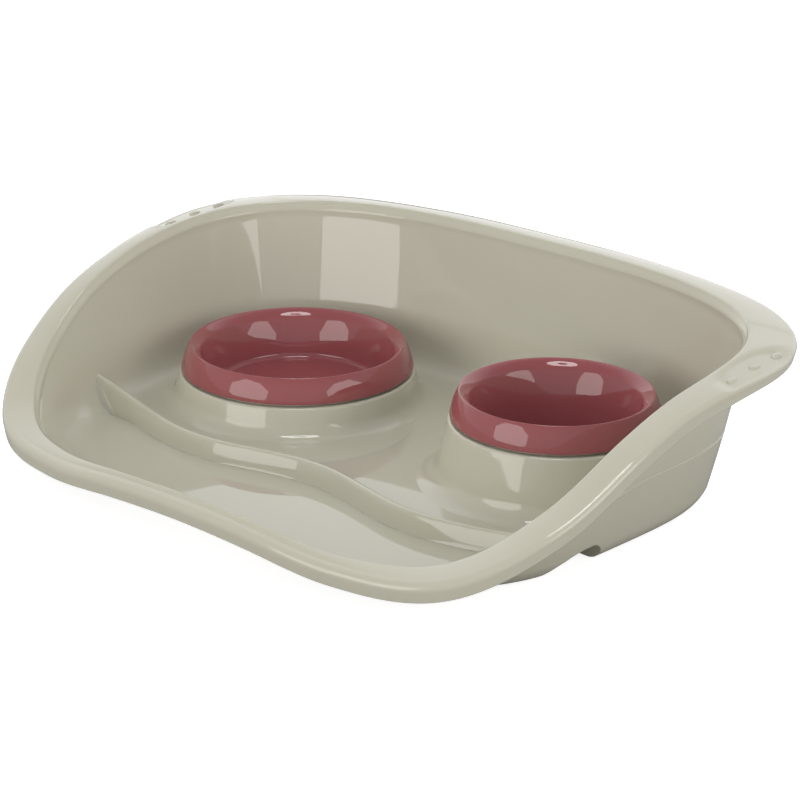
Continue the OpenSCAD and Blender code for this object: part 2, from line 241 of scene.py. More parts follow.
def glossPlastic(name, look):
    material = bpy.data.materials.new(name)
    material.use_nodes = True
    tree = material.node_tree
    shader = tree.nodes["Principled BSDF"]
    shader.inputs["IOR"].default_value = look["ior"]
    skin = node(tree, "ShaderNodeGroup", {
        "Colour": (*look["colour"], 1), "Cloud Colour": (*look["cloudColour"], 1),
        "Cloud Size": look["cloudSize"], "Roughness": look["roughness"],
        "Roughness Spread": look["roughnessSpread"], "Ripple Size": look["rippleSize"]},
        node_tree=mouldedSkin)
    marks = node(tree, "ShaderNodeGroup", {"Amount": look["marks"], "Length": look["markLength"]},
                 node_tree=handlingMarks)
    rough = node(tree, "ShaderNodeMath", operation="ADD", use_clamp=True)
    bump = node(tree, "ShaderNodeBump", {"Strength": look["rippleStrength"], "Distance": 0.4 * mm})
    tree.links.new(skin.outputs["Colour"], shader.inputs["Base Color"])
    tree.links.new(skin.outputs["Roughness"], rough.inputs[0])
    tree.links.new(marks.outputs["Mask"], rough.inputs[1])
    tree.links.new(rough.outputs["Value"], shader.inputs["Roughness"])
    tree.links.new(skin.outputs["Height"], bump.inputs["Height"])
    tree.links.new(bump.outputs["Normal"], shader.inputs["Normal"])
    return material


trayPlastic = glossPlastic("trayPlastic", {
    "colour": (0.50, 0.485, 0.395), "cloudColour": (0.515, 0.50, 0.41), "cloudSize": 7,
    "roughness": 0.015, "roughnessSpread": 0.02, "ior": 1.5,
    "rippleSize": 70, "rippleStrength": 0.03, "marks": 0.04, "markLength": 26})
bowlPlastic = glossPlastic("bowlPlastic", {
    "colour": (0.285, 0.078, 0.084), "cloudColour": (0.305, 0.085, 0.092), "cloudSize": 12,
    "roughness": 0.015, "roughnessSpread": 0.02, "ior": 1.5,
    "rippleSize": 60, "rippleStrength": 0.04, "marks": 0.04, "markLength": 40})
footRubber = glossPlastic("footRubber", {
    "colour": (0.022, 0.022, 0.024), "cloudColour": (0.034, 0.034, 0.036), "cloudSize": 60,
    "roughness": 0.6, "roughnessSpread": 0.2, "ior": 1.45,
    "rippleSize": 700, "rippleStrength": 0.3, "marks": 0.1, "markLength": 90})
print("materials made")

# Sizes of the tray and the bowls. A list of shares runs from the front of the rim to its back.
tray = {
    "halfWidth": 210, "taper": 8.5, "halfDepth": 155.5, "power": 3.2, "rimHeight": 108.5,
    "rimHeightShares": [0.278, 0.261, 0.22, 0.255, 0.483, 0.723, 0.859, 0.923, 0.955, 0.972, 0.988,
                        0.998, 1],
    "flange": 15, "flangeShares": [0.45, 0.48, 0.7, 1.15, 1.15, 1.05, 1, 1.2, 1.7, 1.6, 1.3, 1.28, 1.28],
    "flangeDrop": 3.2, "sagShare": 0.7, "sagPower": 1.3, "flangeCrown": 0.25,
    "edgeRoll": [4.5, 4, 2.4, 1.8], "edgeRollAt": [0, 3, 5, 12],
    "skirt": 11, "skirtShares": [1, 1, 1, 1, 1, 1, 1, 0.85, 0.65, 0.7, 0.9, 1, 1],
    "band": 5, "bandRun": 2.6, "wall": 2.5, "wallRun": 23, "wallBulge": 1.2, "floorFillet": 14,
    "filletShare": 0.9, "edgeRound": 10, "floor": 3, "lip": 2, "lift": 1, "frontFloor": 4, "floorStep": 3.5,
    "stepWidth": 4, "wallStepWidth": 12, "wallStepReach": 30, "creaseHeight": 47, "creaseDepth": 0.9,
    "bowlX": 104.58, "bowlBack": 44, "planSteps": 7200, "stationGap": 2.3,
    "floorRings": 88, "ringsX": 4, "ringsFront": 18, "ringBlend": 3}
bowls = {
    "food": {"side": -1, "radius": 74.5, "height": 34, "skirt": 15.5, "flat": 52.6, "fillet": 11,
             "lean": 14.5, "crestIn": 5.9, "turn": (11.6, 18.5), "bend": (9.9, 12), "inside": 3.6},
    "water": {"side": 1, "radius": 62.5, "height": 53.5, "skirt": 15.5, "flat": 34, "fillet": 14,
              "lean": 11.8, "crestIn": 5.2, "turn": (11.6, 18.5), "bend": (8.9, 9.8), "inside": 9},
    "wall": 2.5, "foot": 1.2, "segments": 192}
pedestal = {
    "socket": 9, "socketGap": 1.2, "lipOut": 1, "lipRound": 2, "ledgeGap": 1.7, "neck": 4.8,
    "neckWall": 1.6, "neckGap": 0.8, "neckRound": 0.8, "neckInside": 0.5, "neckRoot": 0.6,
    "bury": 0.3, "wallGrip": 28, "toe": 4, "segments": 192}
ridge = {
    "height": 12, "rise": 8, "riseFrom": 0.7, "line": 100.5, "wave": 7.2, "pitchShare": 0.84,
    "faceSlope": 2.9, "backSlope": 1.2, "crestHalf": 2.6, "crestPower": 3.4, "backPower": 2.2,
    "faceFoot": 0.15, "backFoot": 1.2, "front": 12, "back": 15, "crestZone": 3, "zoneGap": 0.3,
    "faceRows": 22, "crestRows": 15, "backRows": 20, "columns": 260, "halfLength": 190,
    "toeFrom": 7, "toeRun": 3, "toeSink": 0.15, "wallOverlap": 1.2, "floorOverlap": 1.5,
    "hollowBack": 1, "hollowHalf": 4.5, "hollowSkin": 4}
notch = {
    "y": -41, "front": 36, "back": 11.5, "frontPower": 0.8, "backPower": 0.5, "height": 14.5,
    "skin": 1, "lipGap": 0.3, "cut": 0.97, "crowd": 4, "crowdTight": 1.3, "crowdFrom": 150}
grip = {
    "x": 211, "bow": 3.6, "back": 67, "reach": 25, "soft": 3.6, "depth": 2.2, "fade": 12,
    "cornerX": 184, "cornerY": 111, "cornerTurn": 17, "cornerDepth": 0.5, "cornerStart": 2,
    "cornerSoft": 5, "cornerReach": 40, "cornerSteep": 1.5}
nubs = {
    "length": 10, "width": 5, "height": 1.4, "x": 222.5, "pitch": 22, "back": 69, "root": 0.5,
    "domePower": 0.62, "rootPower": 6, "segments": 40, "rings": 10}
bosses = {"x": 150, "back": 98, "radius": 9.5, "round": 0.6, "low": 1.2, "overlap": 1.5, "segments": 48}

rimY = tray["flange"] * (tray["flangeShares"][0] - tray["flangeShares"][-1]) / 2
bowlY = rimY + tray["bowlBack"]
rearFloor = tray["frontFloor"] + tray["floorStep"]
crest = tray["frontFloor"] + ridge["height"]
ridgePitch = 2 * tray["bowlX"] * ridge["pitchShare"]
# where the fillet between floor and wall starts, from the rim's inner edge
filletStart = -(tray["wallRun"] + tray["floorFillet"])
# the angle between two shares, and how far from the middle the side walls begin
shareDegrees, sideFrom = 15, 120


# The tray's plan, rim and floor
def planPoint(a):
    c, s = np.cos(a), np.sin(a)
    p = tray["power"]
    r = (np.abs(c) ** p + np.abs(s) ** p) ** (-1 / p)
    u, v = r * c, r * s
    return np.stack([u * (tray["halfWidth"] + tray["taper"] * v), rimY + tray["halfDepth"] * v], -1)


def planNormal(a):
    h = 0.02
    t = planPoint(a + h) - planPoint(a - h)
    n = np.stack([t[..., 1], -t[..., 0]], -1)
    return n / np.linalg.norm(n, axis=-1, keepdims=True)


def planShares(y):
    # where the plan's right side is at y, as shares of its half width and half depth
    v = (y - rimY) / tray["halfDepth"]
    u = (1 - np.abs(v) ** tray["power"]) ** (1 / tray["power"])
    return u, v


def shareAt(a):
    return (np.degrees(np.arcsin(np.sin(a))) + 90) / shareDegrees


def rimZ(a):
    return tray["rimHeight"] * smoothShares(tray["rimHeightShares"], shareAt(a))


def flangeAt(a):
    return tray["flange"] * smoothShares(tray["flangeShares"], shareAt(a))


def flangeSag(share):
    # how far the flange falls from the rim's inner edge to a share of its width
    return tray["flangeDrop"] * tray["sagShare"] * share ** tray["sagPower"]


def ridgeLine(x):
    return bowlY - ridge["line"] - ridge["wave"] * np.cos(
        2 * np.pi * (np.abs(x) - ridgePitch / 2) / ridgePitch)


def ridgeTilt(x):
    return ridgeLine(x + 0.5) - ridgeLine(x - 0.5)


def ridgeSide(x, y):
    # distance behind the ridge's line
    return (y - ridgeLine(x)) / np.sqrt(1 + ridgeTilt(x) ** 2)


def ridgeTop(x):
    # the ridge's top climbs towards the side walls
    start = ridge["riseFrom"]
    reach = np.clip((np.abs(x) / (tray["halfWidth"] - tray["wallRun"]) - start) / (1 - start), 0, 1.1)
    return crest + ridge["rise"] * reach ** 2


def floorHeight(x, y, stepWidth):
    # two levels, with the step between them under the ridge
    return tray["frontFloor"] + tray["floorStep"] * smoothStep(ridgeSide(x, y) / stepWidth + 0.5)


def wallD(z, top):
    # how far out the wall's inner face is at a height, from the rim's inner edge
    u = (z - tray["lift"]) / (top - tray["band"] - tray["lift"])
    bulge = 4 * tray["wallBulge"] * u * (1 - u) * top / tray["rimHeight"]
    return -tray["wallRun"] + u * (tray["wallRun"] - tray["bandRun"]) + bulge


def wallDistance(xy):
    # about how far out a point lies from the rim's inner edge
    def level(q):
        v = (q[:, 1] - rimY) / tray["halfDepth"]
        u = q[:, 0] / (tray["halfWidth"] + tray["taper"] * v)
        return (np.abs(u) ** tray["power"] + np.abs(v) ** tray["power"]) ** (1 / tray["power"])

    h = 0.5
    slope = [(level(xy + step) - level(xy - step)) / (2 * h) for step in h * np.eye(2)]
    return (level(xy) - 1) / np.hypot(*slope)


def gripDepth(x, y):
    # how far the flange sinks at the thumb rests, and on the near side of each corner's soft fold
    g = grip
    along = y - rimY - g["back"]
    edge = g["x"] + g["bow"] * (along / g["reach"]) ** 2
    rest = smoothStep((x - edge) / g["soft"]) \
        * smoothStep((g["reach"] + g["fade"] - np.abs(along)) / g["fade"])
    turn = math.radians(g["cornerTurn"])
    n = (y - g["cornerY"]) * math.cos(turn) - (x - g["cornerX"]) * math.sin(turn)
    fold = smoothStep((g["cornerStart"] - n) / g["cornerSoft"]) \
        * smoothStep((n + g["cornerReach"]) / g["cornerReach"] * g["cornerSteep"])
    return g["depth"] * rest + g["cornerDepth"] * fold * (x > sideFrom)


def notchOpening(xy):
    # 0 away from the notches in the side walls, up to 1 where they are tallest
    away = xy[:, 1] - notch["y"]
    width = np.where(away < 0, notch["front"], notch["back"])
    power = np.where(away < 0, notch["frontPower"], notch["backPower"])
    return np.clip(1 - (away / width) ** 2, 0, 1) ** power * (np.abs(xy[:, 0]) > sideFrom)


def stationAngles():
    # evenly spaced along the rim, and closer together at the notches in the side walls
    dense = np.linspace(0, 2 * np.pi, tray["planSteps"] + 1)
    xy = planPoint(dense)
    step = np.linalg.norm(np.diff(xy, axis=0), axis=1)
    mid = (xy[1:] + xy[:-1]) / 2
    near = np.exp(-((mid[:, 1] - notch["y"]) / notch["front"] * notch["crowdTight"]) ** 2)
    weight = step * (1 + notch["crowd"] * near * (np.abs(mid[:, 0]) > notch["crowdFrom"]))
    total = np.concatenate([[0], np.cumsum(weight)])
    count = int(round(total[-1] / tray["stationGap"] / 4)) * 4
    return np.interp(np.arange(count) * total[-1] / count, total, dense)


# The tray's section: rows of (distance out from the rim's inner edge, height), each for all stations.
# steps says how many rows each stretch has.
steps = {
    "fillet": 14, "wall": 24, "band": 5, "throat": 8, "flange": 20, "edge": 9, "skirt": 6, "hem": 4,
    "inSkirt": 4, "inEdge": 6, "inFlange": 3, "inThroat": 5, "outer": 14, "lower": 12, "foot": 12,
    "notch": 10}
bead = {"below": 2.6, "points": [(-0.45, -1.2), (-0.38, -0.3), (-0.05, 0.5), (0.45, 1.4)]}
throat = {"drop": 1.6, "bend": (0.6, 0.02), "end": 1.3, "sunkRows": 3}
hem = {"height": 0.7, "bend": 0.05, "flat": 0.8}
crease = {"above": 1, "below": 1.5, "points": [(0.35, 0.7), (0, 1), (-0.6, 0.75), (-1.2, 0.1)]}


def stationSizes(a, xy, normal):
    # the sizes that change along the rim
    inward = xy - normal * tray["wallStepReach"]
    base = floorHeight(inward[:, 0], inward[:, 1], tray["wallStepWidth"])
    top = rimZ(a)
    return {
        "xy": xy, "one": np.ones_like(a), "base": base, "top": top, "bandLow": top - tray["band"],
        "fillet": np.minimum(tray["floorFillet"], (top - tray["band"] - base) * tray["filletShare"]),
        "flange": flangeAt(a), "skirt": tray["skirt"] * smoothShares(tray["skirtShares"], shareAt(a)),
        "roll": np.interp(shareAt(a), tray["edgeRollAt"], tray["edgeRoll"])}


def innerWallRows(at):
    # up the wall's inner face, then a slight bead and the flared band up to the rim's inner edge
    base, fillet, top, low = at["base"], at["fillet"], at["top"], at["bandLow"]
    rows = bezier((filletStart * at["one"], base), (wallD(base, top), base),
                  (wallD(base + fillet, top), base + fillet), steps["fillet"], first=True)
    for i in range(1, steps["wall"] + 1):
        z = base + fillet + (low - bead["below"] - base - fillet) * i / steps["wall"]
        rows.append((wallD(z, top), z))
    run = -tray["bandRun"] * at["one"]
    rows += [(run + out, low + up) for out, up in bead["points"]]
    neck = (run / 5, top - throat["drop"])
    rows += line(rows[-1], neck, steps["band"])
    rows += bezier(neck, (neck[0] + throat["bend"][0], top - throat["bend"][1]),
                   (throat["end"] * at["one"], top), steps["throat"])
    return rows


def flangeRows(at):
    # the flange, slightly crowned
    width = at["flange"] + 1 - at["roll"] - throat["end"]
    rows = []
    for i in range(1, steps["flange"] + 1):
        s = i / steps["flange"]
        rows.append((throat["end"] + width * s,
                     at["top"] - flangeSag(s) + tray["flangeCrown"] * 4 * s * (1 - s)))
    return rows


def skirtRows(start, at):
    # the rounded outer edge, the skirt and its hem, then back under the flange to the wall
    lip, wall, w, top = tray["lip"], tray["wall"], at["flange"], at["top"]
    lower = top - tray["flangeDrop"]
    hemOut, hemLow = w + lip / 2, lower - at["skirt"]
    rows = bezier(start, (w + lip * 0.9, lower + 0.3), (w + lip, lower - at["roll"]), steps["edge"])
    rows += line(rows[-1], (hemOut, hemLow + hem["height"]), steps["skirt"])
    rows += bezier(rows[-1], (hemOut - hem["bend"], hemLow), (hemOut - hem["flat"], hemLow), steps["hem"])
    rows += [(hemOut - wall + hem["height"], hemLow), (hemOut - wall, hemLow + hem["height"])]
    rows += line(rows[-1], (w + lip - wall, lower - lip * 2), steps["inSkirt"])
    rows += bezier(rows[-1], (w + lip - wall, lower - wall), (w - wall * 1.6, lower - wall * 0.75),
                   steps["inEdge"])
    inner = np.minimum(wall * 2, w - wall * 1.65)
    rows += line(rows[-1], (inner, top - wall * 1.3), steps["inFlange"])
    bandD = wallD(at["bandLow"], top)
    rows += bezier(rows[-1], (bandD + wall * 1.5, top - wall * 1.5), (bandD + wall * 1.2, at["bandLow"]),
                   steps["inThroat"])
    return rows


def outerWallRows(at):
    # the outer face of the wall, with its crease line
    top, bandLow, wall = at["top"], at["bandLow"], tray["wall"]
    low = tray["lift"] + tray["edgeRound"]
    arch = tray["lift"] + notch["height"] * notchOpening(at["xy"])
    above = np.maximum(arch - low, 0)
    height = np.minimum(tray["creaseHeight"], (low + top - tray["skirt"]) / 2)
    depth = tray["creaseDepth"] * np.clip((top - tray["creaseHeight"] - tray["skirt"]) / tray["skirt"], 0, 1)
    rows = []
    for i in range(1, steps["outer"] + 1):
        z = bandLow + (height + crease["above"] - bandLow) * i / steps["outer"]
        rows.append((wallD(z, top) + wall, z))
    for up, share in crease["points"]:
        rows.append((wallD(height, top) + wall - depth * share, height + up))
    start = height - crease["below"]
    for i in range(1, steps["lower"] + 1):
        z = start + (low + above - start) * i / steps["lower"]
        rows.append((wallD(z, top) + wall, z))
    # the rounded foot, cut off higher up at a notch
    foot = tray["lift"]
    end = 1 - np.sqrt(np.clip((arch - foot) / tray["edgeRound"], 0, notch["cut"]))
    d0, d2 = rows[-1][0], wall - tray["wallRun"] - tray["edgeRound"]
    for i in range(1, steps["foot"] + 1):
        s = end * i / steps["foot"]
        rows.append((curveAt(d0, wall - tray["wallRun"] - 2, d2, s), above + curveAt(low, foot, foot, s)))
    return rows, arch


def notchRows(start, arch, at):
    # behind a notch, the shell's round bottom down to the foot, and the way in under the floor
    base, fillet, top = at["base"], at["fillet"], at["top"]
    foot = tray["lift"] * at["one"]
    rows = []
    for i in range(steps["notch"] + 1):
        q = i / steps["notch"]
        z = foot + ((start[1] if i == 0 else arch) - foot) * (1 - q) ** 2
        u = np.sqrt(np.clip((z + notch["skin"] - base) / fillet, 0, 1))
        d = curveAt(filletStart, wallD(base, top), wallD(base + fillet, top), u) + notch["skin"]
        rows.append((np.minimum(d, start[0] - notch["lipGap"] - q), z))
    inner = rows[-1][0]
    under = np.maximum(base - tray["floor"], foot + 0.5)
    return rows + [(inner - 0.3, foot + 0.5), (inner - 0.6, under), (inner - 1.4, under)]


def traySection(a, xy, normal):
    # all rows from the floor's edge over the rim to the underside, and where the outer edge starts
    at = stationSizes(a, xy, normal)
    top = innerWallRows(at) + flangeRows(at)
    outer, arch = outerWallRows(at)
    return top + skirtRows(top[-1], at) + outer + notchRows(outer[-1], arch, at), len(top)


def pedestalSizes(bowl):
    p = pedestal
    ledge = p["socket"] + bowl["height"] - bowl["skirt"] - p["ledgeGap"]
    low = rearFloor + bowl["fillet"] * 0.8
    foot = bowl["radius"] + p["lipOut"] + (ledge - low) * math.tan(math.radians(bowl["lean"]))
    return ledge, low, foot


def sectionPoints(a):
    # the section's rows in space, with the grips pressed into the flange
    xy, normal = planPoint(a), planNormal(a)
    section, edgeStart = traySection(a, xy, normal)
    sunkFrom = edgeStart - steps["flange"] - throat["sunkRows"]
    rows = []
    for k, (d, z) in enumerate(section):
        d, z = np.broadcast_to(d, (len(a),)), np.broadcast_to(z, (len(a),)).copy()
        p = xy + normal * d[:, None]
        share = min(1, 1 - (k - edgeStart + 1) / steps["edge"])
        if k >= sunkFrom and share > 0:
            z -= gripDepth(np.abs(p[:, 0]), p[:, 1]) * share
        rows.append(np.column_stack([p, z]))
    return rows


def floorPoints(outerRing, innerRing):
    # rings that shrink towards a point between the pedestals, on the floor and under it
    centre = np.array([tray["ringsX"], bowlY - tray["ringsFront"]])
    above, below = [], []
    for i in range(1, tray["floorRings"] + 1):
        s = 1 - i / (tray["floorRings"] + 1)
        p = centre + (outerRing[:, :2] - centre) * s
        z = floorHeight(p[:, 0], p[:, 1], tray["stepWidth"])
        above.append(np.column_stack([p, z]))
        # the ridge is hollow from below
        across = (ridgeSide(p[:, 0], p[:, 1]) - ridge["hollowBack"]) / ridge["hollowHalf"]
        hollow = np.clip(1 - across ** 2, 0, 1) ** 2 * (ridge["height"] - ridge["hollowSkin"])
        blend = min(1, i / tray["ringBlend"])
        under = (z - tray["floor"] + hollow) * blend + innerRing[:, 2] * (1 - blend)
        below.append(np.column_stack([p, under]))
    return above, below


def openFloor(bowl, points, faces, count, rowCount):
    # a round opening that the pedestal fills: faces inside go, and the edge is pulled onto the circle
    mid = np.array([bowl["side"] * tray["bowlX"], bowlY])
    hole = pedestalSizes(bowl)[2] + bowl["fillet"] / 2
    away = np.linalg.norm(points[:, :2] - mid, axis=1)
    onFloor = np.zeros(len(points), bool)
    onFloor[:tray["floorRings"] * count] = True
    onFloor[-tray["floorRings"] * count:] = True
    inside = (away < hole) & onFloor
    kept = [f for f in faces if not all(inside[v] for v in f)]
    used = np.zeros(len(points), bool)
    for f in kept:
        used[f] = True
    pull = inside & used
    points[pull, :2] = mid + (points[pull, :2] - mid) * (hole / away[pull])[:, None]
    edges = {(p, q) for f in kept for p, q in zip(f, f[1:] + f[:1]) if pull[p] and pull[q]}
    # the floor's two faces come from one grid, so their edges pair up
    last = rowCount - 1
    for p, q in sorted(edges):
        if (q, p) not in edges and p < len(points) // 2:
            pr, pk = divmod(p, count)
            qr, qk = divmod(q, count)
            kept.append([q, p, (last - pr) * count + pk, (last - qr) * count + qk])
    return kept


def buildTrayShell():
    a = stationAngles()
    rows = sectionPoints(a)
    above, below = floorPoints(rows[0], rows[-1])
    rows = above[::-1] + rows + below
    points = np.concatenate(rows)
    faces = rowFaces(len(rows), len(a))
    for bowl in (bowls["food"], bowls["water"]):
        faces = openFloor(bowl, points, faces, len(a), len(rows))
    # points that no face uses are dropped
    used = sorted({v for f in faces for v in f})
    new = {v: i for i, v in enumerate(used)}
    return points[used] * mm, [[new[v] for v in f] for f in faces]


# The pedestals, the ridge, the nubs and the bosses
def pedestalProfile(bowl):
    p, wall = pedestal, tray["wall"]
    ledge, low, foot = pedestalSizes(bowl)
    socket, neckTop = p["socket"], ledge + p["neck"]
    lip = bowl["radius"] + p["lipOut"]
    neck = bowl["radius"] - bowls["wall"] * 1.1 - p["neckGap"]
    seat = neck - p["neckWall"]
    flat = bowl["flat"] + bowls["wall"] * 2 + p["socketGap"]
    pan = (flat - bowls["wall"] + bowl["inside"] / 2, socket + bowls["foot"] + bowl["inside"] * 0.8)
    knee = (seat, min(socket + bowl["height"] / 2, ledge - p["lipRound"]))
    # the socket's floor and wall, up to the neck that stands on the ledge
    profile = [(0, socket - tray["floor"]), (0, socket), (flat - 1, socket)]
    profile += bezier((flat - 1, socket), (flat, socket), (flat + 0.8, socket + 1.2), 3)
    profile += bezier(pan, knee, (seat, ledge), 10, first=True)
    profile += line((seat, ledge), (seat, neckTop - p["neckInside"]), 3)
    profile += bezier(profile[-1], (seat, neckTop), (neck - p["neckRound"], neckTop), 3)
    profile += bezier(profile[-1], (neck, neckTop), (neck, neckTop - p["neckRound"]), 4)
    profile += line(profile[-1], (neck, ledge + p["neckRoot"]), 3)
    profile += bezier(profile[-1], (neck, ledge), (neck + p["neckRoot"], ledge), 3)
    profile += line(profile[-1], (lip - p["lipRound"] * 1.4, ledge), 2)
    # over the round lip and down the leaning side to the fillet on the floor
    slant = math.tan(math.radians(bowl["lean"]))
    fillet = bowl["fillet"]
    profile += bezier((lip - p["lipRound"] * 1.2, ledge), (lip, ledge), (lip + 1.6 * slant, ledge - 1.6), 9)
    profile += line(profile[-1], (foot, low), 8)
    profile += bezier((foot, low), (foot + (fillet * 0.8 - 0.3) * slant, rearFloor + 0.3),
                      (foot + fillet, rearFloor - 0.12), 22)
    # back along the hollow underside
    under = rearFloor - tray["floor"] - p["bury"]
    profile += [(foot + fillet, under + 0.2), (foot + fillet - 0.3, under), (foot + wall, under)]
    profile += line((foot + wall, under), (foot - wall, low), 2)
    profile += line((foot - wall, low), (lip - wall, ledge - wall), 3)
    profile += bezier((seat + wall, ledge - wall), (knee[0] + wall, knee[1] - wall),
                      (pan[0] + wall, pan[1] - wall), 8, first=True)
    profile += [(flat + wall, socket - tray["floor"] + 1), (flat + wall - 1, socket - tray["floor"])]
    return profile


def buildPedestal(bowl):
    # the fillet at the pedestal's foot ends inside the tray's wall where the two meet
    centre = np.array([bowl["side"] * tray["bowlX"], bowlY])
    verts, faces = spun(pedestalProfile(bowl), centre, pedestal["segments"])
    points = np.array(verts) / mm
    reach = points[:, :2] - centre
    # halving finds the share of each point's reach that stays inside the wall
    low, high = np.zeros(len(points)), np.ones(len(points))
    for _ in range(16):
        share = (low + high) / 2
        outside = wallDistance(centre + reach * share[:, None]) > -pedestal["wallGrip"]
        low, high = np.where(outside, low, share), np.where(outside, share, high)
    share = np.where(points[:, 2] < rearFloor + pedestal["toe"], low, 1)
    share = np.where(share > 0.999, 1, share)
    points[:, :2] = centre + reach * share[:, None]
    return points * mm, faces


def buildRidge():
    # the wavy ridge: a steep flat face, a crisp round crest and a gentler fall behind it
    r = ridge
    zone, crestZone = r["crestZone"], r["crestZone"] - r["zoneGap"]
    across = np.concatenate([
        np.linspace(-r["front"], -zone, r["faceRows"]), np.linspace(-crestZone, crestZone, r["crestRows"]),
        np.linspace(zone, r["back"], r["backRows"])])
    inFront = across < 0
    slope = np.where(inFront, r["faceSlope"], r["backSlope"])
    power = np.where(inFront, r["crestPower"], r["backPower"])
    w, away = r["crestHalf"], np.abs(across)
    drop = slope * w / power
    fall = np.where(away < w, drop * (away / w) ** power, drop + slope * (away - w))
    level = np.where(inFront, tray["frontFloor"], rearFloor)
    foot = np.where(inFront, r["faceFoot"], r["backFoot"])
    filletTop = level + tray["floorFillet"]
    rows = []
    for share in np.linspace(-1, 1, r["columns"] + 1):
        x = np.full(len(across), share * r["halfLength"])
        # each pass brings the ends closer to the wall's inner face
        for _ in range(4):
            y = ridgeLine(x) + across * math.sqrt(1 + ridgeTilt(x[0]) ** 2)
            z = level + foot * np.logaddexp(0, (ridgeTop(x) - fall - level) / foot)
            z -= r["toeSink"] * np.clip((away - r["toeFrom"]) / r["toeRun"], 0, 1)
            u, v = planShares(y)
            rim = rimZ(np.arctan2(v, u))
            t = np.sqrt(np.clip((z - level) / tray["floorFillet"], 0, 1))
            corner = curveAt(filletStart, wallD(level, rim), wallD(filletTop, rim), t)
            end = np.where(t < 1, corner, wallD(z, rim)) + r["wallOverlap"]
            x = share * (u * (tray["halfWidth"] + tray["taper"] * v) + end)
        rows.append([*zip(x, y, z), (x[-1], y[-1], rearFloor - r["floorOverlap"]),
                     (x[0], y[0], tray["frontFloor"] - r["floorOverlap"])])
    verts = [(x * mm, y * mm, z * mm) for row in rows for x, y, z in row]
    return verts, rowFaces(len(rows), len(rows[0]))


def buildNub(side, y):
    # a low rounded pad that rises out of the flange with a soft foot
    u, v = planShares(y)
    a = np.array([math.atan2(v, u)])
    q, n = planPoint(a)[0], planNormal(a)[0]
    out = ((nubs["x"] - q[0]) * n[0] + (y - q[1]) * n[1]) / float(flangeAt(a)[0])
    ground = float(rimZ(a)[0]) - flangeSag(out) - float(gripDepth(nubs["x"], y))
    half = nubs["width"] / 2
    verts = []
    for i in range(nubs["rings"]):
        s = 1 - i / nubs["rings"]
        dome, root = (1 - s ** 2) ** nubs["domePower"], s ** nubs["rootPower"]
        rise = nubs["height"] * dome - nubs["root"] * root
        stretch = (nubs["length"] - nubs["width"]) / 2 * s ** 0.5
        for k in range(nubs["segments"]):
            t = 2 * math.pi * k / nubs["segments"]
            along = math.copysign(stretch * abs(math.sin(t)) ** 0.6, math.sin(t))
            verts.append((side * (nubs["x"] + half * s * math.cos(t)) * mm,
                          (y + half * s * math.sin(t) + along) * mm, (ground + rise) * mm))
    faces = rowFaces(nubs["rings"], nubs["segments"])
    return verts, [f[::-1] for f in faces] if side > 0 else faces


def buildBoss(side):
    # the round boss over a rear foot, which reaches down from the higher floor
    r, bevel, low, top = bosses["radius"], bosses["round"], bosses["low"], rearFloor - bosses["overlap"]
    profile = [(0, low), (0, top), (r, top), (r, low + bevel), (r - bevel, low)]
    return spun(profile, (side * bosses["x"], rimY + bosses["back"]), bosses["segments"])


def joined(parts):
    verts, faces = [], []
    for more, their in parts:
        start = len(verts)
        verts += [tuple(v) for v in more]
        faces += [[v + start for v in f] for f in their]
    return verts, faces


def buildTray():
    parts = [buildTrayShell(), buildRidge(), buildPedestal(bowls["food"]), buildPedestal(bowls["water"])]
    for side in (-1, 1):
        for i in (-1, 0, 1):
            parts.append(buildNub(side, rimY + nubs["back"] + i * nubs["pitch"]))
    parts += [buildBoss(side) for side in (-1, 1)]
    verts, faces = joined(parts)
    verts = np.clip(np.array(verts), cadBox[0], cadBox[1])
    return meshObject("feedingTray", verts, faces, trayPlastic)


feedingTray = buildTray()
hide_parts("tray")
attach(feedingTray, "tray")
print("tray made:", len(feedingTray.data.polygons), "faces")

# The bowls. Points on the rim's inner side are (in from the crest, down from the top).
rimRoll = (6.7, 5.1)
rimCurves = [((6.25, 4.22), (5.4, 3.4), 8), ((4.05, 2.1), (2.6, 1.15), 10), ((0.84, 0), (0, 0), 10)]
footRing = {"outer": 1, "inner": 4, "top": 5, "height": 0.4, "bend": 0.1, "flat": 0.6}


